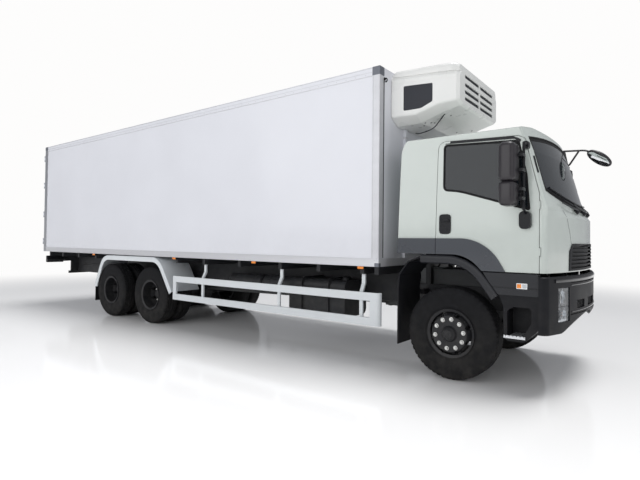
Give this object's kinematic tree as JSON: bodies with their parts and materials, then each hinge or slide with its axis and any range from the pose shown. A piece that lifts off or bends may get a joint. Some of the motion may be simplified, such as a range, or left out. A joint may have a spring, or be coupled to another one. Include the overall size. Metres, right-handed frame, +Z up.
{
  "type": "refrigerated truck",
  "caption": "Heavy cab-over truck with a long insulated box body, a nose-mounted cooling unit, twin rear axles, side guards, opening doors and a tilting cab.",
  "frame": {"origin": "on the ground under the middle of the overall box", "axes": "+X forward, +Y the truck's left, +Z up"},
  "size_m": [11.6601, 3.12, 3.779],
  "materials": {
    "chassis_black": "satin",
    "engine_grey": "rough cast",
    "tank_metal": "brushed",
    "dark_plastic": "fine grain",
    "cab_white": "gloss",
    "body_white": "satin",
    "floor_grey": "ribbed",
    "edging_aluminium": "anodised",
    "portal_steel": "satin",
    "guard_white": "satin",
    "unit_white": "gloss",
    "flap_rubber": "matt",
    "tyre": "matt",
    "rim_dark": "satin",
    "tinted_glass": "tinted",
    "lamp_clear": "clear lens",
    "lamp_red": "lens",
    "seat_cloth": "woven"
  },
  "bodies": {
    "chassis": {"frame_rails": "chassis_black", "frame_fittings": "chassis_black", "engine_block": "engine_grey", "axles": "chassis_black", "leaf_springs": "chassis_black", "fuel_tank": "tank_metal", "battery_box": "dark_plastic", "air_tanks": "chassis_black", "silencer": "tank_metal", "front_bumper": "dark_plastic", "headlamps": "lamp_clear", "step_housings": "dark_plastic", "step_treads": "tank_metal", "front_mudguards": "dark_plastic", "rear_mudguards": "guard_white", "mud_flaps": "flap_rubber", "body_sills": "chassis_black", "cross_bearers": "chassis_black", "side_guards": "guard_white", "box_floor": "floor_grey", "box_side_walls": "body_white", "box_roof": "body_white", "box_front_wall": "body_white", "box_edging": "edging_aluminium", "box_rear_frame": "portal_steel", "fridge_housing": "unit_white", "rear_beam": "chassis_black", "tail_lamps": "lamp_red"},
    "cab": {"cab_shell": "cab_white", "cab_floor": "cab_white", "cab_front_panel": "cab_white", "cab_arch_trim": "dark_plastic", "windscreen": "tinted_glass", "grille": "dark_plastic", "cab_interior": "seat_cloth", "under_mirror": "dark_plastic"},
    "door_right": {"door_right_panel": "cab_white", "door_right_trim": "dark_plastic", "door_right_window": "tinted_glass"},
    "door_left": {"door_left_panel": "cab_white", "door_left_trim": "dark_plastic", "door_left_window": "tinted_glass"},
    "cargo_door_right": {"cargo_door_right_leaf": "body_white", "cargo_door_right_lock_bars": "portal_steel"},
    "cargo_door_left": {"cargo_door_left_leaf": "body_white", "cargo_door_left_lock_bars": "portal_steel"},
    "knuckle_right": {"knuckle_right": "chassis_black"},
    "knuckle_left": {"knuckle_left": "chassis_black"},
    "front_wheel_right": {"front_wheel_right_tyre": "tyre", "front_wheel_right_rim": "rim_dark"},
    "front_wheel_left": {"front_wheel_left_tyre": "tyre", "front_wheel_left_rim": "rim_dark"},
    "rear_wheel_1_right": {"rear_wheel_1_right_tyres": "tyre", "rear_wheel_1_right_rims": "rim_dark"},
    "rear_wheel_1_left": {"rear_wheel_1_left_tyres": "tyre", "rear_wheel_1_left_rims": "rim_dark"},
    "rear_wheel_2_right": {"rear_wheel_2_right_tyres": "tyre", "rear_wheel_2_right_rims": "rim_dark"},
    "rear_wheel_2_left": {"rear_wheel_2_left_tyres": "tyre", "rear_wheel_2_left_rims": "rim_dark"}
  },
  "joints": [
    {"name": "cab_tilt", "type": "hinge", "parent": "chassis", "child": "cab", "pos_m": [5.56111, 0, 0.9], "axis": [0, 1, 0], "range_deg": [0, 45]},
    {"name": "cab_door_right", "type": "hinge", "parent": "cab", "child": "door_right", "pos_m": [5.41911, -1.196, 2], "axis": [0, 0, 1], "range_deg": [0, 70]},
    {"name": "cab_door_left", "type": "hinge", "parent": "cab", "child": "door_left", "pos_m": [5.41911, 1.196, 2], "axis": [0, 0, -1], "range_deg": [0, 70]},
    {"name": "cargo_door_right", "type": "hinge", "parent": "chassis", "child": "cargo_door_right", "pos_m": [-5.80189, -1.25, 2.5], "axis": [0, 0, 1], "range_deg": [0, 255]},
    {"name": "cargo_door_left", "type": "hinge", "parent": "chassis", "child": "cargo_door_left", "pos_m": [-5.80189, 1.25, 2.5], "axis": [0, 0, -1], "range_deg": [0, 255]},
    {"name": "steering_right", "type": "hinge", "parent": "chassis", "child": "knuckle_right", "pos_m": [4.46111, -0.88, 0.53], "axis": [0, 0, 1], "range_deg": [-36, 36]},
    {"name": "steering_left", "type": "hinge", "parent": "chassis", "child": "knuckle_left", "pos_m": [4.46111, 0.88, 0.53], "axis": [0, 0, 1], "range_deg": [-36, 36]},
    {"name": "front_wheel_right_spin", "type": "hinge", "parent": "knuckle_right", "child": "front_wheel_right", "pos_m": [4.46111, -1.03, 0.53], "axis": [0, 1, 0], "continuous": true},
    {"name": "front_wheel_left_spin", "type": "hinge", "parent": "knuckle_left", "child": "front_wheel_left", "pos_m": [4.46111, 1.03, 0.53], "axis": [0, 1, 0], "continuous": true},
    {"name": "rear_wheel_1_right_spin", "type": "hinge", "parent": "chassis", "child": "rear_wheel_1_right", "pos_m": [-1.36389, -0.925, 0.53], "axis": [0, 1, 0], "continuous": true},
    {"name": "rear_wheel_1_left_spin", "type": "hinge", "parent": "chassis", "child": "rear_wheel_1_left", "pos_m": [-1.36389, 0.925, 0.53], "axis": [0, 1, 0], "continuous": true},
    {"name": "rear_wheel_2_right_spin", "type": "hinge", "parent": "chassis", "child": "rear_wheel_2_right", "pos_m": [-2.73389, -0.925, 0.53], "axis": [0, 1, 0], "continuous": true},
    {"name": "rear_wheel_2_left_spin", "type": "hinge", "parent": "chassis", "child": "rear_wheel_2_left", "pos_m": [-2.73389, 0.925, 0.53], "axis": [0, 1, 0], "continuous": true}
  ],
  "couplings": [
    {"joint": "steering_left", "follows": "steering_right", "ratio": 1}
  ]
}
